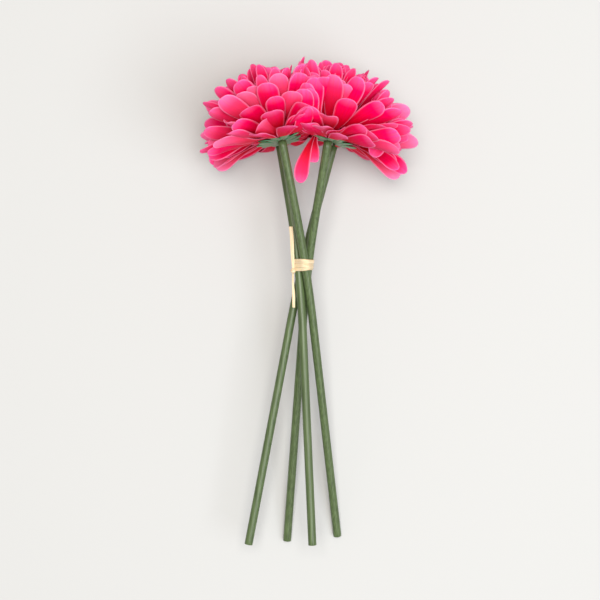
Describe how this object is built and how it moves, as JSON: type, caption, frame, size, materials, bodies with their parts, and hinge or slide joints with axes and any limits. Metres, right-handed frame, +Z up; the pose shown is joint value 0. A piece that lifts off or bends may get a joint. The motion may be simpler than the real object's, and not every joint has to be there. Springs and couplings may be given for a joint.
{
  "type": "cut gerbera bunch",
  "caption": "Bunch of cut gerberas with domed double heads on slim smooth stems, crossed and tied at the middle with a flat raffia band, lying on a surface.",
  "frame": {"origin": "middle of the bunch's footprint, on the surface it lies on", "axes": "+Y from the cut ends to the flower heads, +Z up from the surface, +X to the right seen from above with the heads away from the viewer"},
  "size_m": [0.1668, 0.3772, 0.15],
  "materials": {
    "stem": "satin moulded, fine lengthwise drawing lines",
    "calyx": "thin satin sheet",
    "petals": "formed coated cloth, paler rim and back",
    "centre": "fringed coated cloth",
    "raffia": "dry plant fibre, matt"
  },
  "bodies": {
    "root": {"upper_left_stem": "stem", "upper_left_calyx": "calyx", "upper_left_petal_row_1": "petals", "upper_left_petal_row_2": "petals", "upper_left_petal_row_3": "petals", "upper_left_petal_row_4": "petals", "upper_left_petal_row_5": "petals", "upper_left_petal_row_6": "petals", "upper_left_centre_tuft": "centre", "upper_right_stem": "stem", "upper_right_calyx": "calyx", "upper_right_petal_row_1": "petals", "upper_right_petal_row_2": "petals", "upper_right_petal_row_3": "petals", "upper_right_petal_row_4": "petals", "upper_right_petal_row_5": "petals", "upper_right_petal_row_6": "petals", "upper_right_centre_tuft": "centre", "lower_left_stem": "stem", "lower_left_calyx": "calyx", "lower_left_petal_row_1": "petals", "lower_left_petal_row_2": "petals", "lower_left_petal_row_3": "petals", "lower_left_petal_row_4": "petals", "lower_left_petal_row_5": "petals", "lower_left_petal_row_6": "petals", "lower_left_centre_tuft": "centre", "lower_right_stem": "stem", "lower_right_calyx": "calyx", "lower_right_petal_row_1": "petals", "lower_right_petal_row_2": "petals", "lower_right_petal_row_3": "petals", "lower_right_petal_row_4": "petals", "lower_right_petal_row_5": "petals", "lower_right_petal_row_6": "petals", "lower_right_centre_tuft": "centre", "raffia_wrap": "raffia", "raffia_knot": "raffia", "raffia_tail_up": "raffia", "raffia_tail_down": "raffia"}
  },
  "joints": []
}
